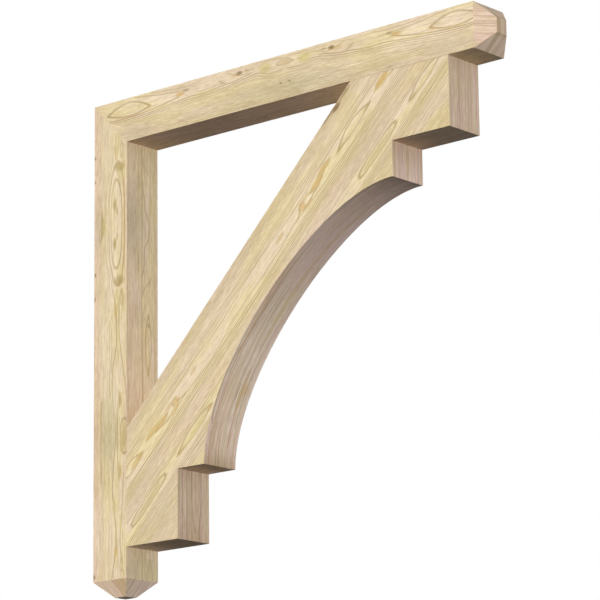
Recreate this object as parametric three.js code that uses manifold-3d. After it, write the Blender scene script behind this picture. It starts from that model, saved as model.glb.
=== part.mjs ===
// A timber corbel bracket: a wall post, a top beam mitred to it, and a shaped diagonal brace.
// Millimetres. +Z is up, +X points out from the wall and +Y runs across the bracket.
// The origin is the middle of the post's flat wall face.

import * as THREE from 'three';
import { mergeVertices } from 'three/addons/utils/BufferGeometryUtils.js';
import Module from 'manifold-3d';

// Post and beam, sawn from one square timber
const SECTION = 89;
const POST_LENGTH = 990;
const BEAM_LENGTH = 990;
const END_CHAMFER = 30;

// Brace, sawn from a plank as thick as the timbers
const BRACE_MARGIN = 60; // bare timber between the brace and the chamfer at each free end
const BRACE_SEAT = 232.5; // length of the brace's seat on the post, and on the beam
const STEP = 135; // first step of each end, as high as it is deep
const LEDGE = 68.5; // second step, from the first to the start of the arc
const ARC_HANDLE = 185; // how far the arc keeps to the directions of the post and the beam

// Clearance between faces that touch in the real bracket
const JOINT_GAP = 0.3;

// Divisions of the arc, and how close two corners are when they count as one
const ARC_SEGMENTS = 56;
const SAME_POINT = 1e-4;

// Heights and reaches that follow from the sizes above
const TOP = (POST_LENGTH - END_CHAMFER) / 2;
const FOOT = TOP - POST_LENGTH;
const UNDERSIDE = TOP - SECTION;
const MITRE_GAP = JOINT_GAP * Math.SQRT2;

const WOOD = {
  post: { color: 0xdcc79c, roughness: 0.62, metalness: 0, flatShading: true },
  beam: { color: 0xdfc79d, roughness: 0.62, metalness: 0, flatShading: true },
  brace: { color: 0xdac093, roughness: 0.64, metalness: 0, flatShading: true },
};

const manifold = await Module();
manifold.setup();

// A closed outline from [u, v] points
function outline(points) {
  return new THREE.Shape(points.map(([u, v]) => new THREE.Vector2(u, v)));
}

// A side view outline, drawn as [x, z], given the timber's thickness along Y
function sideSolid(shape) {
  const geometry = new THREE.ExtrudeGeometry(shape, {
    depth: SECTION,
    bevelEnabled: false,
    curveSegments: ARC_SEGMENTS,
  });
  geometry.rotateX(Math.PI / 2);
  geometry.translate(0, SECTION / 2, 0);
  return geometry;
}

function toManifold(geometry) {
  const bare = geometry.clone();
  bare.deleteAttribute('normal');
  bare.deleteAttribute('uv');
  const merged = mergeVertices(bare, SAME_POINT);
  return new manifold.Manifold(new manifold.Mesh({
    numProp: 3,
    vertProperties: merged.attributes.position.array,
    triVerts: Uint32Array.from(merged.index.array),
  }));
}

function fromManifold(solid) {
  const mesh = solid.getMesh();
  const geometry = new THREE.BufferGeometry();
  geometry.setAttribute('position', new THREE.BufferAttribute(mesh.vertProperties, 3));
  geometry.setIndex(new THREE.BufferAttribute(mesh.triVerts, 1));
  geometry.computeVertexNormals();
  return geometry;
}

// What two crossed outlines have in common
function common(first, second) {
  return fromManifold(toManifold(first).intersect(toManifold(second)));
}

// The post: a mitred top end and a foot chamfered on its four sides
function wallPost() {
  const side = sideSolid(outline([
    [0, TOP],
    [0, FOOT + END_CHAMFER],
    [END_CHAMFER, FOOT],
    [SECTION - END_CHAMFER, FOOT],
    [SECTION, FOOT + END_CHAMFER],
    [SECTION, UNDERSIDE],
  ]));
  const half = SECTION / 2;
  const front = new THREE.ExtrudeGeometry(outline([
    [-half, TOP],
    [-half, FOOT + END_CHAMFER],
    [-half + END_CHAMFER, FOOT],
    [half - END_CHAMFER, FOOT],
    [half, FOOT + END_CHAMFER],
    [half, TOP],
  ]), { depth: SECTION, bevelEnabled: false });
  front.rotateX(Math.PI / 2);
  front.rotateZ(Math.PI / 2);
  return common(side, front);
}

// The beam: a mitred wall end and an outer end chamfered on its four sides
function topBeam() {
  const side = sideSolid(outline([
    [MITRE_GAP, TOP],
    [SECTION + MITRE_GAP, UNDERSIDE],
    [BEAM_LENGTH - END_CHAMFER, UNDERSIDE],
    [BEAM_LENGTH, UNDERSIDE + END_CHAMFER],
    [BEAM_LENGTH, TOP - END_CHAMFER],
    [BEAM_LENGTH - END_CHAMFER, TOP],
  ]));
  const half = SECTION / 2;
  const above = new THREE.ExtrudeGeometry(outline([
    [0, -half],
    [BEAM_LENGTH - END_CHAMFER, -half],
    [BEAM_LENGTH, -half + END_CHAMFER],
    [BEAM_LENGTH, half - END_CHAMFER],
    [BEAM_LENGTH - END_CHAMFER, half],
    [0, half],
  ]), { depth: SECTION, bevelEnabled: false });
  above.translate(0, 0, UNDERSIDE);
  return common(side, above);
}

// The brace: a straight inner edge, two square steps at each end and an arc between them
function diagonalBrace() {
  const wallSeat = SECTION + JOINT_GAP;
  const beamSeat = UNDERSIDE - JOINT_GAP;
  const low = FOOT + END_CHAMFER + BRACE_MARGIN;
  const far = BEAM_LENGTH - END_CHAMFER - BRACE_MARGIN;
  const arcStart = new THREE.Vector2(SECTION + STEP + LEDGE, low + STEP);
  const arcEnd = new THREE.Vector2(far - STEP, UNDERSIDE - STEP - LEDGE);

  const shape = new THREE.Shape();
  shape.moveTo(wallSeat, low);
  shape.lineTo(SECTION + STEP, low);
  shape.lineTo(SECTION + STEP, arcStart.y);
  shape.lineTo(arcStart.x, arcStart.y);
  shape.bezierCurveTo(
    arcStart.x, arcStart.y + ARC_HANDLE,
    arcEnd.x - ARC_HANDLE, arcEnd.y,
    arcEnd.x, arcEnd.y,
  );
  shape.lineTo(arcEnd.x, UNDERSIDE - STEP);
  shape.lineTo(far, UNDERSIDE - STEP);
  shape.lineTo(far, beamSeat);
  shape.lineTo(far - BRACE_SEAT, beamSeat);
  shape.lineTo(wallSeat, low + BRACE_SEAT);
  shape.closePath();
  return sideSolid(shape);
}

function timber(name, geometry, look) {
  const mesh = new THREE.Mesh(geometry, new THREE.MeshStandardMaterial(look));
  mesh.name = name;
  return mesh;
}

const bracket = new THREE.Group();
bracket.add(
  timber('wall_post', wallPost(), WOOD.post),
  timber('top_beam', topBeam(), WOOD.beam),
  timber('diagonal_brace', diagonalBrace(), WOOD.brace),
);

export default bracket;
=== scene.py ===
"""A timber corbel bracket in soft studio light, dressed over its CAD frame.

Each timber is one closed skin over its CAD solid, with eased arrises, cut into small cells. The grain of
each face is drawn as a figure: lines that run along the face, closed eyes between them, and stains. The
skin keeps these as attributes, and the wood's material turns them into early wood, late wood and fibre.

Objects are in metres in the row frame: +Z up, +X out from the wall. Figures are in millimetres.
"""
import math

import bmesh
import bpy
import numpy as np
from mathutils import Matrix, Vector


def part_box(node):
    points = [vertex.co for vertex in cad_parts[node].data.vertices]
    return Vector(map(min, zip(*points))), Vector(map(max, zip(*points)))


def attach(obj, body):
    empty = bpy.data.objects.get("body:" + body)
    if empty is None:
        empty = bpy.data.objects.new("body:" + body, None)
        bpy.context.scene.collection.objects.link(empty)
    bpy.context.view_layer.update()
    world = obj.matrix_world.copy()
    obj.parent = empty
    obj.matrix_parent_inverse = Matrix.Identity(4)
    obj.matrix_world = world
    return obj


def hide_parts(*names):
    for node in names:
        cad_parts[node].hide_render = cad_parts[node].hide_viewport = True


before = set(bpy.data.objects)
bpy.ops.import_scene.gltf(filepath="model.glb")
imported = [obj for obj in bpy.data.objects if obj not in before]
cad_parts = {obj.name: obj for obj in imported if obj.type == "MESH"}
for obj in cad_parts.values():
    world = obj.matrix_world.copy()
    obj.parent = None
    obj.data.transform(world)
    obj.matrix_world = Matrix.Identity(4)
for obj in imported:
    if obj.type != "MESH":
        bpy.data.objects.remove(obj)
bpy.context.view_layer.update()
MM = 0.001

# Camera, solved from the corners of the bracket in an image of 600 by 600 pixels
CAMERA_PLACE = Vector((4.2979, -4.4047, -1.4070))
CAMERA_AZIMUTH = math.radians(40.777)
CAMERA_ELEVATION = math.radians(-13.659)
CAMERA_ROLL = math.radians(-0.695)
FOCAL_PIXELS = 3182.5
IMAGE_PIXELS = 600
SENSOR = 36.0
FARTHEST = 1000.0

# Studio. The sky's light by the height that it comes from, -1 straight below to 1 straight above
KEY_AZIMUTH = math.radians(27)
KEY_ELEVATION = math.radians(-5.5)
KEY_STRENGTH = 2.50
KEY_SOFTNESS = math.radians(12)
BACK_AZIMUTH = math.radians(214)
BACK_ELEVATION = math.radians(6)
BACK_STRENGTH = 1.5
SKY_LIGHT = ((-1.0, 0.0), (-0.5, 0.0), (-0.05, 0.42), (0.25, 0.50), (1.0, 0.18))
FLOOR_DROP = 9.0
FLOOR_HALF = 300.0
FLOOR_COLOUR = (0.8, 0.8, 0.8)
FLOOR_ROUGHNESS = 0.9
FLOOR_GLOW = 0.72

# Skin
ARRIS = 0.6 * MM
ARRIS_SEGMENTS = 2
HAIRLINE = 0.04 * MM
CREASE = math.radians(28)
SOFT_EDGE = math.radians(6)
FLAT = math.radians(0.4)
WELD = 0.002 * MM
CUT_SLACK = 0.001 * MM
WAVE_HEIGHT = 0.10 * MM
WAVE_LENGTHS = np.array([175.0, 35.0, 35.0])
HOLLOW_DEPTH = 0.4 * MM
# A face lies in a seat when it is this nearly parallel to it with its middle this near, and a corner when
# it is this near. A cut of one side takes the faces that turn this far to it
PARALLEL = 0.999
SEAT_FACE_REACH = 0.1 * MM
SEAT_CORNER_REACH = 0.01 * MM
TURNED_TO = 0.9
# A vertex looks the way that its main faces do. Eased arrises and seats weigh this little in that sum, and
# a vertex lies on a main face where the sum is longer than this
SIDE_WEIGHT = 0.001
ON_MAIN = 0.1

# Cells of the skin: wide across the grain, long along it, and deep through the brace from front to back
CELL_WIDE = 1.1 * MM
CELL_LONG = 4.5 * MM
BRACE_CELL_DEEP = 1.3 * MM
BRACE_CELL_LONG = 6.5 * MM

# A face is a cut end when it turns this far to the timber's length, and the brace's edge when it turns
# less than this to the front. Across these faces the noise keeps one value of one coordinate, so that
# its streaks run along them: 1 is the coordinate across the timber and 2 the one from front to back
CHAMFERED = 0.3
EDGE_ON = 0.7
INNER_ASIDE = (1, 500.0)
OUTER_ASIDE = (1, 0.0)
CHAMFER_ASIDE = (2, 0.0)
END_ASIDE = (1, 0.0)

post_lo, post_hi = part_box("wall_post")
beam_lo, beam_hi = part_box("top_beam")
brace_lo, brace_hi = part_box("diagonal_brace")
FRONT = post_lo.y
LENGTH = (post_hi.z - post_lo.z) / MM

X = Vector((1, 0, 0))
Y = Vector((0, 1, 0))
Z = Vector((0, 0, 1))


class Noise:
    """Smooth noise in three dimensions, from -1 to 1, the same on each run."""

    SIZE = 32

    def __init__(self, seed):
        self.grid = np.random.default_rng(seed).uniform(-1, 1, (self.SIZE,) * 3)

    def __call__(self, *coordinates):
        low = [np.floor(c).astype(int) for c in coordinates]
        part = [c - i for c, i in zip(coordinates, low)]
        part = [t * t * (3 - 2 * t) for t in part]
        total = 0.0
        for corner in range(8):
            pick = [(corner >> axis) & 1 for axis in range(3)]
            weight = 1.0
            for t, up in zip(part, pick):
                weight = weight * (t if up else 1 - t)
            index = tuple((i + up) % self.SIZE for i, up in zip(low, pick))
            total = total + weight * self.grid[index]
        return total


def smooth(lo, hi, x):
    """0 below lo and 1 above hi, with a smooth step between."""
    t = np.clip((x - lo) / (hi - lo), 0, 1)
    return t * t * (3 - 2 * t)


def sweep(x, points):
    """The height at x of a smooth line through the points."""
    px, py = np.array(points, float).T
    slope = np.gradient(py, px)
    i = np.clip(np.searchsorted(px, x) - 1, 0, len(px) - 2)
    h = px[i + 1] - px[i]
    t = np.clip((x - px[i]) / h, 0, 1)
    rise = t * t * (3 - 2 * t)
    level = py[i] * (1 - rise) + py[i + 1] * rise
    return level + h * t * (1 - t) * (slope[i] * (1 - t) - slope[i + 1] * t)


def mirrored(items, middle):
    """Strokes, eyes or stains, and the same ones again on the other side of the middle."""
    copies = []
    for item in items:
        if isinstance(item[-1], list):
            copies.append((*item[:-1], [(2 * middle - p, q) for p, q in reversed(item[-1])]))
        else:
            copies.append((2 * middle - item[0], *item[1:]))
    return list(items) + copies


# A drawn line: how dark it is, and how pale and how wide the wood beside it
LINE_DARK = 1.25
LINE_PALE = 0.25
PALE_REACH = 2.6


def line_profile(off):
    """A dark line with slightly paler wood beside it, by distance in half widths."""
    return LINE_DARK * np.exp(-off ** 2) - LINE_PALE * np.exp(-(off / PALE_REACH) ** 2)


def patch_at(along, across, place, middle, length, width, edge):
    """A patch: 1 in its middle and nearly 0 past its half length and half width, crisper with more edge."""
    spread = ((along - place) / length) ** 2 + ((across - middle) / width) ** 2
    return np.exp(-spread ** edge)


class Figure:
    """The drawn grain of one face, in millimetres along and across it.

    lines    growth rings under the figure: (rings since the line before, points along it)
    strokes  (strength, half width, points along it); a negative strength is paler wood
    eyes     (along, across, half length, width above, width below, strength, shape)
    stains   kind: (along, across, half length, half width, strength); the kind "light" is no
             stain, but a part of the face that is paler, or darker where its strength is negative
    bold, cut and tone are curves across the face: how strong its rings are, how much it has the
    pinker look of a sawn end, and how light it is.
    """

    # The least gap between two lines of rings, and how many gaps the rings run on past the outer lines
    NARROWEST = 0.5
    OVERRUN = 9
    # Powers of an eye's outline along and across, its line's half width, how strong that line is in the
    # middle and how much stronger at the tips, where its inside begins, how much that calms the rings,
    # and what keeps the powers off zero
    SHAPES = {"oval": (2.6, 2.0), "lens": (1.7, 1.15)}
    EYE_LINE = 1.5
    EYE_MIDDLE = 0.7
    EYE_TIPS = 0.5
    EYE_INSIDE = 0.2
    EYE_CALM = 0.75
    TINY = 1e-6
    # A stroke fades over this length at each end
    STROKE_FADE = 12.0
    # How crisp the edge of a stain is
    SOFT = 1.4
    CRISP = 2.6
    SOFT_KINDS = ("shade", "mist", "painted_shade_rose", "chalk")

    def __init__(self, lines, strokes=(), eyes=(), stains=None, bold=0.5, cut=0.0, tone=0.0):
        self.lines = lines
        self.strokes = strokes
        self.eyes = eyes
        self.stains = stains or {}
        self.curves = {"bold": bold, "cut": cut, "tone": tone}

    def rings(self, along, across):
        places = [sweep(along, points) for _, points in self.lines]
        last = len(self.lines) - 1
        total = np.zeros_like(along)
        for k in range(1, last + 1):
            gap = np.maximum(places[k] - places[k - 1], self.NARROWEST)
            share = (across - places[k - 1]) / gap
            least = -self.OVERRUN if k == 1 else 0
            most = self.OVERRUN if k == last else 1
            total += self.lines[k][0] * np.clip(share, least, most)
        return total

    def drawn(self, along, across):
        """The strokes and eyes together, and how far inside an eye each place is."""
        total = np.zeros_like(along)
        for strength, width, points in self.strokes:
            middle = sweep(along, points)
            slope = sweep(along + 1, points) - middle
            off = (across - middle) / np.sqrt(1 + slope ** 2) / width
            begin, finish = points[0][0], points[-1][0]
            fade = smooth(begin, begin + self.STROKE_FADE, along)
            fade = fade * smooth(-finish, self.STROKE_FADE - finish, -along)
            mark = strength * fade * line_profile(off)
            total = np.where(np.abs(mark) > np.abs(total), mark, total)
        inside = np.zeros_like(along)
        for place, middle, length, above, below, strength, shape in self.eyes:
            p, q = self.SHAPES[shape]
            width = np.where(across < middle, above, below)
            x = np.abs(along - place) / length + self.TINY
            y = np.abs(across - middle) / width + self.TINY
            level = 1 - x ** p - y ** q
            steep_along = p * x ** (p - 1) / length
            steep = np.hypot(steep_along, q * y ** (q - 1) / width)
            off = level / steep / self.EYE_LINE / (1 + steep_along / steep)
            pressed = self.EYE_MIDDLE + self.EYE_TIPS * np.minimum(x, 1) ** 2
            mark = strength * pressed * line_profile(off)
            total = np.where(np.abs(mark) > np.abs(total), mark, total)
            inside = np.maximum(inside, smooth(0, self.EYE_INSIDE, level))
        return total, inside

    def paint(self, along, across):
        """The fields of this face at the given places."""
        fields = {"ring": self.rings(along, across)}
        fields["stroke"], inside = self.drawn(along, across)
        for name, curve in self.curves.items():
            level = np.zeros_like(along)
            fields[name] = level + (curve if isinstance(curve, float) else sweep(across, curve))
        fields["bold"] = fields["bold"] * (1 - self.EYE_CALM * inside)
        for kind in STAIN_COLOURS:
            edge = self.SOFT if kind in self.SOFT_KINDS else self.CRISP
            fields[kind] = np.zeros_like(along)
            for *place, strength in self.stains.get(kind, ()):
                fields[kind] = np.maximum(fields[kind], strength * patch_at(along, across, *place, edge))
        for *place, strength in self.stains.get("light", ()):
            fields["tone"] = fields["tone"] + strength * patch_at(along, across, *place, self.SOFT)
        return fields


# Colours of the wood, linear, and a greyish pink of painted shade
EARLY_YELLOW = (0.790, 0.650, 0.362)
EARLY_PINK = (0.802, 0.646, 0.445)
LATE = (0.470, 0.335, 0.165)
CUT_YELLOW = (0.820, 0.645, 0.460)
CUT_PINK = (0.855, 0.632, 0.510)
CUT_LATE = (0.480, 0.325, 0.200)
PALE = (0.930, 0.790, 0.610)
STAIN_COLOURS = {
    "chalk": (0.850, 0.715, 0.500),
    "mist": (0.650, 0.565, 0.345),
    # a greyish pink of painted shade, laid where the brace's curved edge faces down and on the beam's
    # underside
    "painted_shade_rose": (0.860, 0.630, 0.580),
    "shade": (0.510, 0.420, 0.255),
    "yellow": (0.660, 0.540, 0.220),
    "olive": (0.490, 0.365, 0.155),
    "amber": (0.635, 0.410, 0.148),
    "dark": (0.230, 0.130, 0.045),
}
# How much of a change of light each colour takes: darker wood is also redder
DEEPENING = (0.85, 1.0, 1.3)

# Noise of the wood, in waves to the metre along, across and through the grain
HUE_SCALE = (6, 34, 34)
PATCH_SCALE = (10, 36, 36)
BAND_SCALE = (14, 95, 95)
WOBBLE_SCALE = (14, 160, 160)
STREAK_SCALE = (20, 210, 210)
FIBRE_SCALE = (55, 420, 420)
FLECK_SCALE = (60, 330, 330)
# Its detail and roughness, where they aren't the usual ones
HUE_DETAIL = (3.0, 0.6)
FIBRE_DETAIL = (3.0, 0.65)
FLECK_DETAIL = 1.0
# The part of its range over which flecks appear, and over which one colour of the wood turns to another
FLECK_RANGE = (0.62, 0.74)
COLOUR_RANGE = (0.36, 0.64)
# How fibres and streaks break up lines and stains: two heights of the noise, and the strength at each
LINE_BY_FIBRE = (0.3, 0.62, 1.0, 1.6)
LINE_BY_STREAK = (0.3, 0.6, 0.8, 1.15)
STAIN_BY_STREAK = (0.2, 0.6, 0.7, 1.0)
# How far fibres, streaks, bands and patches move the light of the wood, and how far a fleck darkens it
TIMBER_DEPTHS = (0.75, 0.50, 0.18, 0.22)
BRACE_DEPTHS = (0.75, 0.45, 0.08, 0.12)
FLECK_DEPTH = 0.12

# Growth rings: how far they wander, how strong the faintest is, how much stronger another may be, and the
# part of each ring over which its late wood builds up and ends
RING_WOBBLE = 0.55
RING_FAINTEST = 0.6
RING_SPREAD = 0.6
LATE_RISE = (0.45, 0.92)
LATE_FALL = (0.94, 1.0)

# The sawn surface, on which late wood is smoother and stands proud
ROUGHNESS = 0.68
LATE_SMOOTHER = 0.12
SPECULAR = 0.25
BUMP_STRENGTH = 0.3
BUMP_HEIGHT = 0.08 * MM
LATE_RELIEF = 0.6
FIBRE_RELIEF = 0.5

# Grain of the post: along it from the top, across from the wall or from the front
POST_FRONT = Figure(
    lines=[
        (0, [(0, 0), (990, 0)]),
        (7, [(0, 20), (990, 20)]),
        (5, [(0, 34), (253, 31), (450, 34), (680, 34), (990, 34)]),
        (4, [(0, 48), (150, 42), (253, 38), (356, 42), (440, 50), (680, 48), (990, 50)]),
        (3, [(0, 62), (150, 58), (356, 58), (440, 61), (680, 60), (850, 60), (990, 60)]),
        (5, [(0, 89), (253, 92), (500, 89), (680, 95), (990, 90)]),
    ],
    strokes=mirrored([
        (0.55, 1.6, [(60, 57), (85, 59), (119, 50), (149, 44), (165, 37), (190, 33), (253, 31.5)]),
        (0.40, 1.4, [(150, 47), (175, 42), (210, 38), (253, 36.5)]),
        (0.30, 1.3, [(95, 33), (140, 30), (200, 27.5), (253, 27)]),
    ], 253) + [
        (0.95, 1.8, [(218, 21.5), (253, 21), (288, 21.5)]),
        (0.95, 1.4, [(600, 21), (690, 20.5), (775, 21)]),
        (0.55, 1.3, [(600, 66), (680, 65), (755, 66)]),
        (0.65, 1.8, [(405, 55), (437, 61), (460, 62), (502, 61), (540, 53), (580, 50), (620, 54),
                     (650, 58.5), (676, 60), (702, 58.5), (740, 54), (794, 52), (820, 55), (860, 61),
                     (905, 60.5), (935, 55), (965, 50)]),
        (0.55, 1.6, [(395, 70), (422, 69), (452, 68), (487, 70.5), (540, 79), (575, 85), (615, 91)]),
        (0.65, 1.3, [(440, 43.5), (500, 43.5), (610, 43.5)]),
        (0.60, 1.3, [(455, 48), (500, 49), (560, 48)]),
        (0.30, 1.3, [(430, 36), (520, 37.5), (620, 38)]),
        (0.45, 1.5, [(585, 69), (626, 68.5), (647, 64), (676, 62.6), (706, 64), (735, 67), (775, 70)]),
        (0.50, 1.6, [(745, 82), (794, 79), (832, 77), (868, 73), (897, 73), (930, 78), (965, 85)]),
        (0.35, 1.3, [(750, 43.5), (850, 43), (965, 42)]),
        (0.30, 1.3, [(770, 47), (850, 48.5), (900, 49), (965, 44)]),
    ],
    eyes=[
        (253, 66, 125, 25, 17, 0.95, "oval"),
        (253, 60.5, 90.5, 14, 16, 0.85, "oval"),
        (681.5, 83.5, 34.5, 11, 11, 0.6, "oval"),
        (403, 75.5, 15, 3.5, 3.5, 0.45, "lens"),
        (103, 75.5, 15, 3.5, 3.5, 0.45, "lens"),
        (932, 76.5, 13, 3.5, 3.5, 0.45, "lens"),
    ],
    stains={
        "chalk": [(150, 42, 140, 24, 0.45), (330, 42, 110, 22, 0.45), (490, 34, 100, 18, 0.6),
                  (620, 60, 40, 16, 0.4)],
        "light": [(253, 16, 130, 10, -0.07), (682, 46, 46, 80, -0.11), (850, 45, 70, 30, 0.05)],
        "shade": [(253, 8, 38, 13, 0.30), (30, 80, 20, 10, 0.1)],
        "mist": [(665, 41, 72, 22, 0.8)],
        "yellow": mirrored([(95, 63, 26, 7, 0.45), (154, 72, 18, 10, 0.4)], 253) + [
            (253, 27, 19, 5, 0.8), (500, 66, 42, 6, 0.4), (690, 80, 30, 8, 0.35), (815, 58, 18, 5, 0.7),
            (850, 74, 22, 4, 0.5), (915, 63, 26, 5, 0.45), (408, 64, 12, 5, 0.4),
        ],
        "olive": mirrored([
            (137, 70, 10, 14, 0.9), (213, 56.5, 13, 4.5, 0.95), (227, 63, 8, 3, 0.65),
        ], 253) + [
            (681, 83.5, 31, 10, 0.5), (610, 71.5, 16, 4, 0.7), (752, 71.5, 16, 4, 0.55),
            (398, 75, 12, 3.5, 0.45), (240, 23.5, 6, 4, 0.6), (266, 23.5, 6, 4, 0.6), (645, 64, 26, 2.5, 0.4),
            (253, 25.5, 20, 3.5, 0.45),
        ],
        "amber": [
            (253, 83, 104, 3, 0.6), (430, 59, 16, 4, 0.6), (907, 61, 14, 4.5, 0.65),
            (690, 20.5, 80, 1.2, 0.4), (640, 17, 22, 1.8, 0.3), (740, 24, 30, 1.8, 0.3),
            (752, 73, 10, 3, 0.6), (600, 8, 90, 9, 0.2), (760, 9, 60, 8, 0.2),
            (410, 80, 22, 3, 0.35), (110, 59, 16, 3, 0.4), (395, 59, 14, 3, 0.35),
        ],
        "dark": [
            (108, 2.5, 4, 2.8, 0.8), (157, 2.5, 4, 2.4, 0.65), (348, 3, 4, 2.8, 0.8), (398, 3, 4, 2.4, 0.65),
            (950, 3, 5, 3.4, 0.8),
        ],
    },
    bold=((0, 0.3), (45, 0.45), (70, 0.25), (89, 0.3)),
    cut=((0, 0.6), (12, 0.55), (20, 0.14), (40, 0.0), (89, 0.1)),
    tone=((0, -0.02), (20, -0.03), (40, 0.02), (70, 0.02), (89, -0.02)),
)
POST_INNER = Figure(
    lines=[
        (0, [(0, 0), (990, 0)]),
        (7, [(0, 20), (990, 20)]),
        (6, [(0, 40), (500, 40), (990, 41)]),
        (4, [(0, 62), (253, 66), (500, 60), (990, 62)]),
        (6, [(0, 89), (990, 90)]),
    ],
    strokes=mirrored([
        (0.50, 1.5, [(108, 44), (122, 46), (135, 53), (150, 66), (165, 72)]),
    ], 257) + [
        (0.50, 1.5, [(60, 43.5), (250, 43.5), (480, 43), (640, 45.5), (990, 45)]),
        (0.60, 1.6, [(150, 43.5), (185, 48), (207, 52), (225, 53.6), (233, 60), (241, 62.5), (275, 62.5),
                     (284, 60), (293, 53.6), (315, 51), (339, 49), (366, 41)]),
        (0.40, 1.4, [(408, 64), (414, 54), (428, 49), (480, 46.5), (640, 48)]),
        (0.35, 1.4, [(412, 66), (428, 73), (470, 77), (640, 78)]),
        (0.35, 1.3, [(60, 6), (300, 4), (420, 3), (640, 7)]),
        (0.30, 1.3, [(60, 33), (140, 34), (190, 36)]),
        (0.30, 1.5, [(60, 80), (250, 81), (420, 82), (640, 84)]),
    ],
    eyes=[(494, 61.5, 59, 8, 9, 0.6, "lens"), (952, 66, 34, 6, 7, 0.4, "lens")],
    stains={
        "shade": [(255, 20, 66, 25, 0.6), (110, 66, 30, 20, 0.15), (930, 30, 40, 30, 0.2)],
        "yellow": [(210, 68, 20, 6, 0.4), (305, 68, 20, 6, 0.4), (530, 62, 20, 5, 0.45),
                   (945, 66, 26, 5, 0.4)],
        "olive": [(168, 33, 26, 2.4, 0.45), (328, 33, 30, 2.4, 0.45)],
        "amber": [(494, 55, 46, 2.2, 0.4), (545, 62, 8, 3, 0.3)],
        "dark": [(454, 62.5, 5, 2.6, 0.6)],
    },
    bold=((0, 0.35), (40, 0.45), (60, 0.2), (89, 0.35)),
    cut=((0, 0.45), (18, 0.35), (40, 0.15), (60, 0.1), (89, 0.2)),
    # painted light: the whole inner face of the post is made paler
    tone=0.09,
)

# Grain of the beam: along it from the wall, across from the top or from the front
BEAM_FRONT = Figure(
    lines=[
        (0, [(0, 0), (990, 0)]),
        (3, [(0, 34), (95, 36), (230, 30), (310, 28), (433, 18), (506, 24), (579, 18), (702, 28), (782, 30),
             (917, 36), (990, 34)]),
        (6, [(0, 54), (95, 56), (230, 48), (310, 42), (433, 34), (506, 38), (579, 34), (702, 42), (782, 48),
             (917, 56), (990, 54)]),
        (12, [(0, 89), (990, 92)]),
    ],
    strokes=mirrored([
        (0.80, 1.2, [(20, 40), (93, 41), (150, 38), (197, 32), (227, 27), (248, 21)]),
        (0.75, 1.1, [(40, 44), (93, 45), (163, 41.5), (230, 35), (263, 32.5), (297, 33.5), (323, 31.5),
                     (350, 28.5), (370, 28), (393, 24), (428, 18.5)]),
        (0.60, 1.1, [(50, 47.5), (93, 49), (163, 45.5), (230, 39), (300, 37), (340, 34.5), (370, 32),
                     (393, 29), (427, 23.5), (443, 24.5), (463, 31), (483, 30.5), (506, 27.5)]),
        (0.45, 1.1, [(60, 51.5), (93, 53), (163, 49.5), (230, 43.5), (300, 40), (363, 37), (400, 33),
                     (430, 28.5), (463, 35), (506, 32)]),
        (0.35, 1.1, [(70, 55.5), (93, 57), (163, 53.5), (230, 48), (300, 44), (363, 41), (430, 34),
                     (463, 39), (506, 36.5)]),
        (0.45, 1.5, [(105, 3), (133, 5.5), (183, 12), (215, 14.5), (245, 16)]),
        (0.35, 1.4, [(150, 2), (163, 4), (200, 7), (230, 9), (263, 9), (297, 5)]),
        (0.60, 1.5, [(330, 3), (334, 12), (340, 20), (347, 24), (360, 27)]),
        (0.50, 1.3, [(350, 6), (366, 10), (378, 14), (392, 18), (404, 18.5), (416, 14), (424, 8)]),
        (0.45, 1.3, [(400, 7), (409, 11), (420, 13), (436, 12)]),
        (0.30, 1.3, [(440, 3), (470, 5), (506, 5)]),
    ], 506),
    eyes=mirrored([(95, 28, 57, 18, 10, 0.75, "lens")], 506) + [(506, 17, 20, 8, 4, 0.45, "lens")],
    stains={
        "light": [(190, 34, 60, 22, 0.09), (390, 52, 90, 18, -0.07), (840, 36, 130, 20, 0.09),
                  (880, 8, 110, 10, 0.05), (540, 62, 130, 34, -0.05), (540, 3, 120, 8, -0.06),
                  (870, 60, 90, 30, 0.04)],
        "shade": mirrored([(110, 72, 60, 14, 0.3), (330, 80, 120, 8, 0.2)], 506) + [(506, 64, 100, 26, 0.15)],
        "mist": [(500, 68, 150, 22, 0.6)],
        "yellow": mirrored([(457, 17, 17, 10, 0.75), (60, 27, 16, 5, 0.3), (175, 37, 40, 3, 0.4),
                            (300, 31, 30, 3, 0.4)], 506),
        "olive": mirrored([(344, 22, 9, 5, 0.4), (133, 25, 16, 4, 0.3)], 506) + [(506, 17, 17, 4, 0.5)],
        "amber": mirrored([(234, 22, 13, 4.5, 0.8), (378, 17, 16, 4, 0.4), (148, 31, 12, 3, 0.5),
                           (95, 37.5, 34, 2, 0.4), (506, 14, 12, 5, 0.3)], 506),
        "dark": mirrored([(390, 13, 8, 3.8, 0.9), (408, 12, 5, 2.4, 0.45), (249, 17, 9, 2.8, 0.6),
                          (495.5, 56, 3.5, 2.2, 0.8), (250, 82, 7, 1.6, 0.25)], 506),
    },
    bold=((0, 0.2), (25, 0.15), (45, 0.2), (60, 0.45), (89, 0.5)),
    cut=0.08,
    tone=((0, 0.03), (30, 0.03), (50, 0.01), (75, -0.02), (89, -0.06)),
)

# Grain of the brace: along its inner edge from the middle, across from the bracket's inner corner
FINE_LINES = [
    (0.35, 570.5), (0.50, 575), (0.50, 579.5), (0.55, 584), (0.65, 625), (0.60, 629.5), (0.60, 634),
    (0.50, 638.5), (0.35, 643), (0.45, 698), (0.60, 702), (0.60, 706), (0.55, 710), (0.55, 714.5),
    (0.45, 719), (0.35, 724), (0.30, 731),
]
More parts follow.
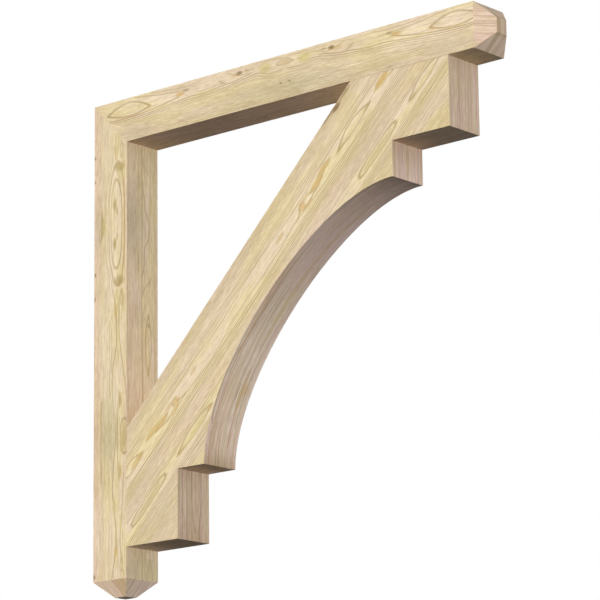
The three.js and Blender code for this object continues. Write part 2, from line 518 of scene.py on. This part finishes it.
# Amber wood of the ridges: (along, across, half length, half width, strength)
FLAMES = [
    (-372, 596, 22, 5, 0.6), (-345, 603, 22, 4.5, 0.9), (-293, 604, 8, 8, 0.75), (-310, 598, 9, 2.5, 0.5),
    (-306, 613, 12, 2.5, 0.6), (252, 596, 20, 5, 0.65), (219, 603, 22, 4.5, 0.9), (167, 604, 8, 8, 0.75),
    (184, 598, 9, 2.5, 0.5), (180, 613, 12, 2.5, 0.6), (452, 598, 20, 6, 0.85), (-222, 599, 9, 2.6, 0.5),
    (92, 600, 10, 3, 0.65), (-436, 604, 20, 4, 0.6), (-248, 683, 7, 3.4, 0.55),
]
FLAME_OUTLINE = 0.7
FINE_REACH = 620
FINE_SPACING = 62
FINE_BEND = 1.0
FINE_HALF_WIDTH = 1.0


def fine_line(strength, across, seed):
    """A thin straight line of the brace, a little wavy in its own way."""
    draw = np.random.default_rng(seed)
    places = range(-FINE_REACH, FINE_REACH + 1, FINE_SPACING)
    return (strength, FINE_HALF_WIDTH, [(p, across + draw.uniform(-FINE_BEND, FINE_BEND)) for p in places])


BRACE_FRONT = Figure(
    lines=[
        (0, [(-600, 530), (600, 530)]),
        (12, [(-600, 574), (600, 574)]),
        (4, [(-600, 588), (600, 588)]),
        (5, [(-600, 618), (600, 618)]),
        (13, [(-600, 668), (600, 668)]),
        (6, [(-600, 697), (600, 697)]),
        (22, [(-600, 790), (600, 790)]),
    ],
    strokes=[fine_line(strength, across, seed) for seed, (strength, across) in enumerate(FINE_LINES)] + [
        (0.50, 1.2, [(-600, 588), (-440, 589), (-400, 588), (-300, 587), (-190, 587), (-115, 591.5),
                     (-40, 587), (60, 587), (160, 592), (230, 588), (350, 586), (470, 588), (600, 588)]),
        (0.50, 1.2, [(-600, 620), (-400, 623), (-330, 621), (-280, 614), (-230, 617), (-175, 622),
                     (-120, 617), (-50, 614), (60, 616), (150, 613), (200, 617), (350, 622), (600, 618)]),
        (0.45, 1.3, [(-600, 667), (-400, 669), (-300, 667), (-150, 669), (200, 669), (350, 668),
                     (600, 667)]),
        (0.45, 1.4, [(-400, 674), (-360, 672), (-300, 671), (-240, 673), (-200, 672)]),
        (0.45, 1.4, [(400, 674), (440, 672), (500, 671), (560, 673)]),
        (0.75, 1.5, [(-395, 591), (-370, 600), (-340, 611), (-312, 615)]),
        (0.70, 1.5, [(-300, 593), (-290, 603), (-275, 611), (-255, 614)]),
        (0.75, 1.5, [(165, 615), (190, 611), (230, 606), (262, 592)]),
        (0.70, 1.5, [(130, 614), (150, 609), (165, 600), (176, 592)]),
        (0.65, 1.5, [(432, 590), (450, 599), (470, 606), (500, 612)]),
    ],
    eyes=[
        (-452, 604, 33, 14, 5, 0.7, "lens"), (350, 604, 54, 14, 4, 0.8, "lens"),
        (-473, 683, 64, 9, 7, 0.75, "oval"), (350, 683, 64, 9, 7, 0.75, "oval"),
        (-301, 682, 61, 10, 7, 0.7, "lens"), (512, 682, 52, 10, 7, 0.7, "lens"),
    ] + [(*place, width, width, FLAME_OUTLINE * strength, "lens") for *place, width, strength in FLAMES],
    stains={
        "shade": [(-452, 556, 30, 12, 0.35), (350, 650, 90, 20, 0.25), (-480, 650, 80, 18, 0.2),
                  (-473, 735, 90, 18, 0.25), (0, 552, 500, 8, 0.12)],
        "yellow": [(-360, 597, 34, 6, 0.6), (-300, 684, 46, 5, 0.55), (512, 684, 40, 5, 0.55),
                   (235, 598, 34, 6, 0.6), (452, 600, 26, 8, 0.6), (-440, 603, 24, 4, 0.4),
                   (350, 602, 44, 4, 0.3), (-100, 600, 140, 8, 0.15)],
        "olive": [
            (-473, 683, 56, 6, 0.55), (350, 683, 58, 6, 0.5), (-355, 683, 14, 4, 0.5), (470, 683, 14, 4, 0.5),
            (-424, 604, 12, 4, 0.55), (306, 604, 12, 4, 0.5), (394, 604, 12, 4, 0.5),
            (-448, 560, 12, 6, 0.55),
        ],
        "chalk": [(-314, 606.5, 11, 3.5, 0.9), (188, 606.5, 11, 3.5, 0.9)],
        "amber": FLAMES,
        "dark": [(353, 541, 14, 5, 0.95), (330, 536.5, 26, 3.4, 0.7), (384, 539, 22, 3, 0.6)],
    },
    bold=((530, 0.3), (560, 0.2), (600, 0.15), (650, 0.2), (700, 0.15), (740, 0.35), (790, 0.45)),
    cut=((530, 0.1), (575, 0.05), (640, 0.12), (655, 0.3), (668, 0.1), (790, 0.08)),
    tone=((530, -0.08), (548, -0.09), (557, -0.03), (564, 0.02), (575, 0.02), (592, 0.08), (612, 0.08),
          (622, 0.02), (640, -0.01), (655, -0.05), (664, -0.03), (672, 0.04), (690, 0.05), (700, 0.01),
          (725, -0.02), (790, -0.08)),
)


# A straight-grained face: the least and the most that its random streaks and stains take
ACROSS_FACE = (1, 88)
STREAK_HALF_LENGTH = (60, 260)
STREAK_HALF_WIDTH = (0.9, 1.7)
STREAK_DRIFT = (-4, 4)
STREAK_BEND = (-2, 2)
STAIN_RANGES = (ACROSS_FACE, (50, 170), (1.5, 4), (0.15, 0.45))
STREAKS_TO_A_STAIN = 6
STREAKED_RINGS = 26
FACE_WIDTH = 89


def even_rings(lo, hi, count):
    """Rings spread evenly across a face that runs from lo to hi."""
    return [(0, [(lo, 0), (hi, 0)]), (count, [(lo, FACE_WIDTH), (hi, FACE_WIDTH)])]


def streaked(seed, count, reach, strengths, straight=1.0, kinds=("amber", "yellow", "chalk"), strokes=(),
             stains=None, **extra):
    """A straight-grained face: lines and stains of these kinds run along it, each a little wavy."""
    draw = np.random.default_rng(seed)
    strokes = list(strokes)
    for _ in range(count):
        middle = draw.uniform(*reach)
        half = draw.uniform(*STREAK_HALF_LENGTH)
        across = draw.uniform(*ACROSS_FACE)
        drift = draw.uniform(*STREAK_DRIFT) * straight
        bend = draw.uniform(*STREAK_BEND) * straight
        points = [(middle - half, across - drift), (middle, across + bend), (middle + half, across + drift)]
        strokes.append((draw.uniform(*strengths), draw.uniform(*STREAK_HALF_WIDTH), points))
    stains = {kind: list(marks) for kind, marks in (stains or {}).items()}
    for kind in kinds:
        for _ in range(count // STREAKS_TO_A_STAIN):
            mark = tuple(draw.uniform(*span) for span in (reach, *STAIN_RANGES))
            stains.setdefault(kind, []).append(mark)
    return Figure(even_rings(*reach, STREAKED_RINGS), strokes, stains=stains, **extra)


SAWN_EDGE = streaked(
    8, 120, (-600, 600), (-0.5, 0.6), straight=0.5, kinds=("amber", "shade", "chalk"), bold=0.3, cut=1.0,
    strokes=[
        (0.65, 1.6, [(-278, 11), (-260, 6), (-220, 2), (-164, 3), (-110, 11), (-48, 17), (-3, 20)]),
        (0.60, 1.4, [(-60, 15), (-8, 18), (40, 22)]),
        (0.50, 1.3, [(-100, 22), (-48, 24), (20, 27)]),
        (0.90, 1.5, [(-228, 51), (-203, 50.5), (-180, 51)]),
        (0.55, 1.3, [(-262, 46), (-200, 45.5), (-130, 47)]),
        (-0.6, 1.3, [(-268, 53.5), (-200, 54), (-150, 53)]),
        (0.60, 1.4, [(-275, 74), (-200, 72.5), (-120, 73.5)]),
        (0.55, 1.3, [(-239, 60), (-205, 57), (-164, 60), (-145, 64)]),
    ],
    eyes=[(-405, 53, 62, 11, 13, 0.5, "oval"), (-395, 54, 40, 5, 6, 0.4, "oval")],
    stains={
        # painted light and shade: parts of the brace's curved edge and end facets are made paler or darker by
        # the way each faces the light
        "light": [
            (-150, 44, 160, 90, 0.31), (160, 44, 160, 90, 0.13), (-409, 44, 60, 80, -0.09),
            (505, 44, 50, 80, -0.02), (337, 44, 26, 80, 0.12), (-337, 44, 22, 80, -0.32),
            (-505, 44, 48, 80, -0.26), (409, 44, 46, 80, -0.11),
        ],
        "shade": [(525, 34, 60, 9, 0.25), (-190, 5, 70, 6, 0.3), (-200, 50, 24, 26, 0.2)],
        "amber": [(-225, 30, 100, 22, 0.2), (-212, 62, 40, 5, 0.55), (-200, 68, 12, 10, 0.5),
                  (-288, 63, 16, 3, 0.45), (540, 30, 40, 3, 0.35)],
        "yellow": [(358, 45, 20, 6, 0.3), (-30, 62, 90, 7, 0.35)],
        # painted shade: a greyish pink where the brace's curved edge faces down
        "painted_shade_rose": [(180, 44, 150, 90, 0.6)],
        "chalk": [(-138, 62, 16, 12, 0.35), (-290, 52, 30, 5, 0.3)],
    },
)
BEAM_UNDER = streaked(
    11, 34, (0, 990), (-0.2, 0.6), bold=0.4, cut=0.2,
    eyes=[(230, 58, 50, 8, 8, 0.4, "lens"), (610, 40, 60, 9, 9, 0.4, "lens")],
    # painted shade: most of the beam's underside is made darker and a greyer pink
    stains={"light": [(300, 44, 260, 90, -0.14)], "painted_shade_rose": [(300, 44, 260, 90, 0.6)]},
)
BEAM_TOP = streaked(
    13, 30, (0, 990), (-0.3, 0.5), bold=0.45, cut=0.0,
    eyes=[(180, 50, 60, 9, 8, 0.6, "lens"), (520, 50, 90, 12, 11, 0.6, "oval"),
          (520, 50, 54, 6, 6, 0.5, "oval"), (800, 51, 50, 7, 8, 0.6, "lens")],
    stains={"amber": [(300, 50, 22, 4, 0.4), (665, 51, 20, 4, 0.4)], "olive": [(520, 50, 30, 4, 0.4)]},
)
WALL_SIDE = streaked(
    17, 34, (0, 990), (-0.3, 0.5), bold=0.45, cut=0.05,
    eyes=[(310, 42, 80, 10, 9, 0.5, "oval"), (310, 42, 44, 4, 4, 0.4, "oval"),
          (700, 47, 60, 8, 8, 0.5, "lens")],
)


# A cut end, along the timber: where its drawing begins and ends, and where its chamfers begin
CUT_REACH = (940, 1010)
CHAMFER_START = 960
CUT_HALF_WIDTH = 1.5
CUT_RINGS = 14
CUT_BOLD = 0.15


def cut_end(lines, slant=0.0, stains=None, tone=0.0):
    """A face of a timber's cut end.

    lines: (strength, across where the chamfers begin); slant is how far each moves across on a
    millimetre along.
    """
    strokes = [
        (strength, CUT_HALF_WIDTH, [(p, across + (p - CHAMFER_START) * slant) for p in CUT_REACH])
        for strength, across in lines
    ]
    rings = even_rings(*CUT_REACH, CUT_RINGS)
    return Figure(rings, strokes, stains=stains, bold=CUT_BOLD, cut=1.0, tone=tone)


POST_CHAMFER = cut_end(
    [(0.25, 22), (0.25, 34), (0.90, 49.5), (0.80, 57), (0.55, 63), (0.70, 70.5), (0.60, 76.5)], slant=0.29,
    stains={"amber": [(975, 44, 60, 90, 0.22), (975, 70, 60, 22, 0.5)]}, tone=0.12,
)
POST_END = cut_end(
    [(0.30, 12.5), (0.55, 24), (0.30, 27), (0.35, 47), (0.20, 60)],
    stains={"yellow": [(975, 8, 60, 16, 0.25)]}, tone=0.17,
)
BEAM_CHAMFER = cut_end(
    [(0.40, 7), (0.35, 10.7), (0.40, 14), (0.40, 18.7), (0.40, 29), (0.30, 38), (0.45, 43), (0.40, 47)],
    stains={"yellow": [(975, 12, 60, 14, 0.1)]}, tone=-0.12,
)
BEAM_END = cut_end(
    [(0.35, 9), (0.35, 14), (0.55, 33), (0.50, 36.5), (0.55, 40), (-0.5, 44), (0.4, 52), (-0.4, 50),
     (0.45, 57), (0.35, 62), (-0.4, 70), (0.35, 76)],
    stains={"amber": [(975, 44, 60, 200, 0.1), (975, 37, 40, 6, 0.25)], "light": [(990, 44, 4, 200, -0.2)]},
    tone=0.16,
)


# Geometry

def slice_up(bm, direction, step, facing=None):
    """Cuts the mesh, or only its faces that look one way or its opposite, by planes at most a step apart."""
    heights = [direction.dot(v.co) for v in bm.verts]
    lo, hi = min(heights), max(heights)
    count = math.ceil((hi - lo) / step)
    for k in range(1, count):
        if facing is None:
            geometry = bm.verts[:] + bm.edges[:] + bm.faces[:]
        else:
            faces = {f for f in bm.faces if abs(f.normal.dot(facing)) > TURNED_TO}
            edges = {e for f in faces for e in f.edges}
            geometry = [*faces, *edges, *{v for e in edges for v in e.verts}]
        place = direction * (lo + (hi - lo) * k / count)
        bmesh.ops.bisect_plane(bm, geom=geometry, dist=CUT_SLACK, plane_co=place, plane_no=direction)


def skin(node, name, seats, cuts):
    """A skin over a CAD solid: seats closed to a hairline, arrises eased, and cut into small cells.

    seats: (a point of the seat, its outward direction, how far it moves to close the gap)
    cuts: (direction, step), and where only some faces are cut, the direction that they look
    """
    bm = bmesh.new()
    bm.from_mesh(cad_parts[node].data)
    bmesh.ops.remove_doubles(bm, verts=bm.verts[:], dist=WELD)
    bmesh.ops.dissolve_limit(bm, angle_limit=FLAT, verts=bm.verts[:], edges=bm.edges[:])
    bm.normal_update()

    seat_faces = set()
    for point, outward, shift in seats:
        for face in bm.faces:
            flush = abs(face.normal.dot(outward)) > PARALLEL
            if flush and abs((face.calc_center_median() - point).dot(outward)) < SEAT_FACE_REACH:
                seat_faces.add(face)
        for vert in bm.verts:
            if abs((vert.co - point).dot(outward)) < SEAT_CORNER_REACH:
                vert.co += shift

    main = bm.faces.layers.int.new("main")
    for face in bm.faces:
        face[main] = 0 if face in seat_faces else 1
    arrises = [
        e for e in bm.edges
        if e.is_convex and e.calc_face_angle(0) > CREASE and not seat_faces.intersection(e.link_faces)
    ]
    eased = bmesh.ops.bevel(
        bm, geom=arrises, offset=ARRIS, offset_type="OFFSET", segments=ARRIS_SEGMENTS, profile=0.5,
        affect="EDGES", clamp_overlap=True,
    )
    for face in eased["faces"]:
        face[main] = 0
    for cut in cuts:
        slice_up(bm, *cut)

    mesh = bpy.data.meshes.new(name)
    bm.to_mesh(mesh)
    bm.free()
    piece = bpy.data.objects.new(name, mesh)
    bpy.context.scene.collection.objects.link(piece)
    return piece


def skin_arrays(mesh):
    """The places of a skin's vertices, the way the main faces they lie on look, and which lie on one."""
    places = np.empty(len(mesh.vertices) * 3)
    mesh.vertices.foreach_get("co", places)
    faces = len(mesh.polygons)
    normals = np.empty(faces * 3)
    mesh.polygons.foreach_get("normal", normals)
    main = np.empty(faces, np.int32)
    mesh.attributes["main"].data.foreach_get("value", main)
    totals = np.empty(faces, np.int32)
    mesh.polygons.foreach_get("loop_total", totals)
    corners = np.empty(len(mesh.loops), np.int32)
    mesh.loops.foreach_get("vertex_index", corners)
    weight = np.repeat(np.where(main == 1, 1.0, SIDE_WEIGHT), totals)
    outward = np.zeros((len(mesh.vertices), 3))
    np.add.at(outward, corners, np.repeat(normals.reshape(-1, 3), totals, axis=0) * weight[:, None])
    size = np.linalg.norm(outward, axis=1)
    return places.reshape(-1, 3), outward / size[:, None], size > ON_MAIN


def store(mesh, name, values):
    attribute = mesh.attributes.new(name, "FLOAT", "POINT")
    attribute.data.foreach_set("value", values.astype(np.float32))


def dress(piece, along, across, choose, noise):
    """Gives a skin its grain. choose says which figure each vertex takes its fields from."""
    mesh = piece.data
    places, outward, outer = skin_arrays(mesh)
    axes = np.array([along, across, Y])
    corner = np.array([post_lo.x, FRONT, beam_hi.z])
    local = (places - corner) @ axes.T / MM
    facing = outward @ axes.T

    names = ("ring", "bold", "stroke", "cut", "tone", *STAIN_COLOURS)
    fields = {name: np.zeros(len(places)) for name in names}
    grain_places = local.copy()
    for mask, painted, aside in choose(local, facing):
        for name, values in painted.items():
            fields[name][mask] = values
        if aside is not None:
            coordinate, value = aside
            grain_places[mask, coordinate] = value
    for name, values in fields.items():
        store(mesh, name, values)
    grain = mesh.attributes.new("grain", "FLOAT_VECTOR", "POINT")
    grain.data.foreach_set("vector", (grain_places * MM).astype(np.float32).ravel())

    wave = noise(*(local / WAVE_LENGTHS).T)
    sunk = (1 - wave) * WAVE_HEIGHT / 2 + HOLLOW_DEPTH * fields["dark"]
    places -= outward * (sunk * outer)[:, None]
    mesh.vertices.foreach_set("co", places.ravel())
    mesh.attributes.remove(mesh.attributes["main"])
    mesh.polygons.foreach_set("use_smooth", np.ones(len(mesh.polygons), bool))
    mesh.set_sharp_from_angle(angle=SOFT_EDGE)
    mesh.update()


# Which figure each face of a timber takes

def sides_of(local, facing, front, back, low, high, chamfer, end):
    """Figures by side for a square timber, low and high being its sides of least and most across.

    The chamfers of its cut end to the front and the back take one figure, the rest of that end another.
    """
    along, across, depth = local.T
    ended = np.abs(facing[:, 0]) > CHAMFERED
    slanted = np.abs(facing[:, 2]) > CHAMFERED
    faced = np.abs(facing[:, 2]) >= np.abs(facing[:, 1])
    masks = [
        (~ended & faced & (facing[:, 2] < 0), front, across, None),
        (~ended & faced & (facing[:, 2] >= 0), back, across, None),
        (~ended & ~faced & (facing[:, 1] < 0), low, depth, None),
        (~ended & ~faced & (facing[:, 1] >= 0), high, depth, None),
        (ended & slanted, chamfer, across, CHAMFER_ASIDE),
        (ended & ~slanted, end, depth, END_ASIDE),
    ]
    return [(m, figure.paint(along[m], side[m]), aside) for m, figure, side, aside in masks]


def turned(figure, ends):
    """The same figure run the other way along a timber, whose two ends' coordinates add up to ends."""
    def back(points):
        return [(ends - p, q) for p, q in reversed(points)]
    return Figure(
        [(count, back(points)) for count, points in figure.lines],
        [(strength, width, back(points)) for strength, width, points in figure.strokes],
        [(ends - place, *rest) for place, *rest in figure.eyes],
        {kind: [(ends - place, *rest) for place, *rest in marks] for kind, marks in figure.stains.items()},
        **figure.curves,
    )


def post_sides(local, facing):
    behind = turned(POST_FRONT, LENGTH)
    return sides_of(local, facing, POST_FRONT, behind, WALL_SIDE, POST_INNER, POST_CHAMFER, POST_END)


def beam_sides(local, facing):
    behind = turned(BEAM_FRONT, LENGTH)
    return sides_of(local, facing, BEAM_FRONT, behind, BEAM_TOP, BEAM_UNDER, BEAM_CHAMFER, BEAM_END)


def brace_sides(local, facing):
    along, across, depth = local.T
    edge = np.abs(facing[:, 2]) < EDGE_ON
    front = ~edge & (facing[:, 2] < 0)
    back = ~edge & (facing[:, 2] >= 0)
    inner = edge & (facing[:, 1] < 0)
    outer = edge & ~inner
    behind = turned(BRACE_FRONT, 0)
    return [
        (front, BRACE_FRONT.paint(along[front], across[front]), None),
        (back, behind.paint(along[back], across[back]), None),
        (inner, SAWN_EDGE.paint(-along[inner], depth[inner]), INNER_ASIDE),
        (outer, SAWN_EDGE.paint(along[outer], depth[outer]), OUTER_ASIDE),
    ]


# Materials

class Shader:
    """Short ways to add and join the nodes of a material."""

    def __init__(self, name):
        self.material = bpy.data.materials.new(name)
        self.material.use_nodes = True
        self.nodes = self.material.node_tree.nodes
        self.links = self.material.node_tree.links
        self.surface = self.nodes["Principled BSDF"]

    def put(self, socket, value):
        if isinstance(value, bpy.types.NodeSocket):
            self.links.new(value, socket)
        elif isinstance(value, tuple) and len(value) == 3 and socket.type == "RGBA":
            socket.default_value = (*value, 1)
        else:
            socket.default_value = value

    def math(self, operation, *values):
        node = self.nodes.new("ShaderNodeMath")
        node.operation = operation
        for socket, value in zip(node.inputs, values):
            self.put(socket, value)
        return node.outputs[0]

    def vector(self, operation, *values):
        node = self.nodes.new("ShaderNodeVectorMath")
        node.operation = operation
        for socket, value in zip(node.inputs, values):
            self.put(socket, value)
        return node.outputs[0]

    def step(self, value, lo, hi, out_lo=0.0, out_hi=1.0):
        node = self.nodes.new("ShaderNodeMapRange")
        node.interpolation_type = "SMOOTHSTEP"
        for socket, number in zip(node.inputs, (value, lo, hi, out_lo, out_hi)):
            self.put(socket, number)
        return node.outputs[0]

    def mix(self, share, first, second):
        node = self.nodes.new("ShaderNodeMix")
        node.data_type = "RGBA"
        self.put(node.inputs["Factor"], share)
        colours = [socket for socket in node.inputs if socket.type == "RGBA"]
        self.put(colours[0], first)
        self.put(colours[1], second)
        return next(socket for socket in node.outputs if socket.type == "RGBA")

    def field(self, name, output="Fac"):
        node = self.nodes.new("ShaderNodeAttribute")
        node.attribute_name = name
        return node.outputs[output]

    def noise(self, place, scales, detail=2.0, rough=0.5):
        node = self.nodes.new("ShaderNodeTexNoise")
        self.put(node.inputs["Vector"], self.vector("MULTIPLY", place, scales))
        node.inputs["Scale"].default_value = 1.0
        node.inputs["Detail"].default_value = detail
        node.inputs["Roughness"].default_value = rough
        return node.outputs["Fac"]

    def random(self, value):
        node = self.nodes.new("ShaderNodeTexWhiteNoise")
        node.noise_dimensions = "1D"
        self.put(node.inputs["W"], value)
        return node.outputs["Value"]


def late_wood(s, ring):
    """How dark the late wood is: it builds up through each ring and ends at once."""
    phase = s.math("FRACT", ring)
    rise = s.step(phase, *LATE_RISE)
    fall = s.step(phase, *LATE_FALL, 1.0, 0.0)
    return s.math("MULTIPLY", rise, fall)


def wood(name, shift, depths):
    """Pale unfinished fir, the shift moving its random parts so that no two timbers match."""
    s = Shader(name)
    place = s.vector("ADD", s.field("grain", "Vector"), (shift, shift, shift))

    hue = s.noise(place, HUE_SCALE, *HUE_DETAIL)
    patch = s.noise(place, PATCH_SCALE)
    band = s.noise(place, BAND_SCALE)
    streak = s.noise(place, STREAK_SCALE)
    fibre = s.noise(place, FIBRE_SCALE, *FIBRE_DETAIL)
    fleck = s.step(s.noise(place, FLECK_SCALE, FLECK_DETAIL), *FLECK_RANGE)

    wobble = s.math("MULTIPLY", s.math("SUBTRACT", s.noise(place, WOBBLE_SCALE), 0.5), RING_WOBBLE)
    ring = s.math("ADD", s.field("ring"), wobble)
    each = s.math("MULTIPLY_ADD", s.random(s.math("FLOOR", ring)), RING_SPREAD, RING_FAINTEST)
    ring_line = s.math("MULTIPLY", s.math("MULTIPLY", late_wood(s, ring), each), s.field("bold"))
    broken = s.math("MULTIPLY", s.step(fibre, *LINE_BY_FIBRE), s.step(streak, *LINE_BY_STREAK))
    stroke = s.math("MULTIPLY", s.field("stroke"), broken)
    late = s.math("MAXIMUM", ring_line, stroke)
    pale = s.math("MAXIMUM", s.math("MULTIPLY", stroke, -1.0), 0.0)

    early = s.mix(s.step(hue, *COLOUR_RANGE), EARLY_YELLOW, EARLY_PINK)
    sawn = s.mix(late, early, LATE)
    cut_early = s.mix(s.step(band, *COLOUR_RANGE), CUT_PINK, CUT_YELLOW)
    across = s.mix(late, cut_early, CUT_LATE)
    colour = s.mix(s.field("cut"), sawn, across)
    colour = s.mix(pale, colour, PALE)
    for kind, stain in STAIN_COLOURS.items():
        uneven = s.math("MULTIPLY", s.field(kind), s.step(streak, *STAIN_BY_STREAK))
        colour = s.mix(uneven, colour, stain)
    light = s.field("tone")
    for pattern, depth in zip((fibre, streak, band, patch), depths):
        light = s.math("MULTIPLY_ADD", s.math("SUBTRACT", pattern, 0.5), depth, light)
    light = s.math("MULTIPLY_ADD", fleck, -FLECK_DEPTH, light)
    shade = s.vector("MULTIPLY_ADD", light, DEEPENING, (1, 1, 1))
    s.put(s.surface.inputs["Base Color"], s.vector("MULTIPLY", colour, shade))

    s.put(s.surface.inputs["Roughness"], s.math("MULTIPLY_ADD", late, -LATE_SMOOTHER, ROUGHNESS))
    s.surface.inputs["Specular IOR Level"].default_value = SPECULAR
    relief = s.math("MULTIPLY", late, LATE_RELIEF)
    height = s.math("ADD", relief, s.math("MULTIPLY", fibre, FIBRE_RELIEF))
    bump = s.nodes.new("ShaderNodeBump")
    bump.inputs["Strength"].default_value = BUMP_STRENGTH
    bump.inputs["Distance"].default_value = BUMP_HEIGHT
    s.put(bump.inputs["Height"], height)
    s.put(s.surface.inputs["Normal"], bump.outputs[0])
    return s.material


# The three timbers

def finish_piece(piece, node, material):
    piece.data.materials.append(material)
    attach(piece, "root")
    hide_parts(node)


def post():
    mitre = (Vector((post_lo.x, 0, post_hi.z)), (X + Z).normalized(), Vector())
    piece = skin("wall_post", "post_timber", [mitre], [(X, CELL_WIDE), (Y, CELL_WIDE), (Z, CELL_LONG)])
    dress(piece, -Z, X, post_sides, Noise(seed=3))
    finish_piece(piece, "wall_post", wood("post_fir", shift=0.0, depths=TIMBER_DEPTHS))


def beam():
    gap = beam_lo.x - post_lo.x
    mitre = (Vector((beam_lo.x, 0, beam_hi.z)), -(X + Z).normalized(), X * (HAIRLINE - gap))
    piece = skin("top_beam", "beam_timber", [mitre], [(Z, CELL_WIDE), (Y, CELL_WIDE), (X, CELL_LONG)])
    dress(piece, X, -Z, beam_sides, Noise(seed=4))
    finish_piece(piece, "top_beam", wood("beam_fir", shift=3.7, depths=TIMBER_DEPTHS))


def brace():
    along = (X + Z).normalized()
    across = (X - Z).normalized()
    on_post = (Vector((brace_lo.x, 0, brace_lo.z)), -X, X * (post_hi.x + HAIRLINE - brace_lo.x))
    on_beam = (Vector((brace_hi.x, 0, brace_hi.z)), Z, Z * (beam_lo.z - HAIRLINE - brace_hi.z))
    cuts = [(across, CELL_WIDE, Y), (Y, BRACE_CELL_DEEP), (along, BRACE_CELL_LONG)]
    piece = skin("diagonal_brace", "brace_timber", [on_post, on_beam], cuts)
    dress(piece, along, across, brace_sides, Noise(seed=6))
    finish_piece(piece, "diagonal_brace", wood("brace_fir", shift=8.3, depths=BRACE_DEPTHS))


# Studio

def looking(azimuth, elevation, roll=0.0):
    """The turn of a camera or lamp that stands at this azimuth and elevation and looks at the middle."""
    back = Vector((
        math.sin(azimuth) * math.cos(elevation),
        -math.cos(azimuth) * math.cos(elevation),
        math.sin(elevation),
    ))
    right = Vector((math.cos(azimuth), math.sin(azimuth), 0))
    up = back.cross(right)
    turned_right = right * math.cos(roll) + up * math.sin(roll)
    turned_up = up * math.cos(roll) - right * math.sin(roll)
    return Matrix((turned_right, turned_up, back)).transposed().to_4x4()


def camera():
    data = bpy.data.cameras.new("camera")
    data.sensor_width = SENSOR
    data.lens = FOCAL_PIXELS * SENSOR / IMAGE_PIXELS
    data.clip_end = FARTHEST
    eye = bpy.data.objects.new("camera", data)
    bpy.context.scene.collection.objects.link(eye)
    turn = looking(CAMERA_AZIMUTH, CAMERA_ELEVATION, CAMERA_ROLL)
    eye.matrix_world = Matrix.Translation(CAMERA_PLACE) @ turn
    bpy.context.scene.camera = eye


def lamp(name, azimuth, elevation, strength):
    data = bpy.data.lights.new(name, "SUN")
    data.energy = strength
    data.angle = KEY_SOFTNESS
    light = bpy.data.objects.new(name, data)
    bpy.context.scene.collection.objects.link(light)
    light.matrix_world = looking(azimuth, elevation)


def sky():
    """White where the camera looks past the bracket, and a dimmer light on the wood, by height."""
    world = bpy.data.worlds.new("studio")
    bpy.context.scene.world = world
    world.use_nodes = True
    nodes, links = world.node_tree.nodes, world.node_tree.links
    background = nodes["Background"]
    background.inputs["Color"].default_value = (1, 1, 1, 1)
    place = nodes.new("ShaderNodeTexCoord")
    split = nodes.new("ShaderNodeSeparateXYZ")
    share = nodes.new("ShaderNodeMapRange")
    share.inputs["From Min"].default_value = -1
    ramp = nodes.new("ShaderNodeValToRGB")
    elements = ramp.color_ramp.elements
    while len(elements) < len(SKY_LIGHT):
        elements.new(0.5)
    for element, (height, light) in zip(elements, SKY_LIGHT):
        element.position = (height + 1) / 2
        element.color = (light, light, light, 1)
    ray = nodes.new("ShaderNodeLightPath")
    pick = nodes.new("ShaderNodeMix")
    pick.inputs["B"].default_value = 1.0
    links.new(place.outputs["Generated"], split.inputs[0])
    links.new(split.outputs["Z"], share.inputs["Value"])
    links.new(share.outputs[0], ramp.inputs[0])
    links.new(ray.outputs["Is Camera Ray"], pick.inputs["Factor"])
    links.new(ramp.outputs["Color"], pick.inputs["A"])
    links.new(pick.outputs[0], background.inputs["Strength"])


def floor():
    """A plain pale floor, far enough down that a view from below still looks over it."""
    bm = bmesh.new()
    bmesh.ops.create_grid(bm, x_segments=1, y_segments=1, size=FLOOR_HALF)
    bmesh.ops.translate(bm, verts=bm.verts[:], vec=Vector((0, 0, -FLOOR_DROP)))
    mesh = bpy.data.meshes.new("floor")
    bm.to_mesh(mesh)
    bm.free()
    plane = bpy.data.objects.new("floor", mesh)
    bpy.context.scene.collection.objects.link(plane)
    s = Shader("pale_floor")
    s.surface.inputs["Base Color"].default_value = (*FLOOR_COLOUR, 1)
    s.surface.inputs["Roughness"].default_value = FLOOR_ROUGHNESS
    s.surface.inputs["Emission Color"].default_value = (1, 1, 1, 1)
    s.surface.inputs["Emission Strength"].default_value = FLOOR_GLOW
    mesh.materials.append(s.material)
    plane.visible_diffuse = False
    plane.visible_glossy = False
    plane.visible_shadow = False


bpy.context.scene.view_settings.view_transform = "Standard"
camera()
lamp("key", KEY_AZIMUTH, KEY_ELEVATION, KEY_STRENGTH)
lamp("back", BACK_AZIMUTH, BACK_ELEVATION, BACK_STRENGTH)
sky()
floor()
post()
beam()
brace()
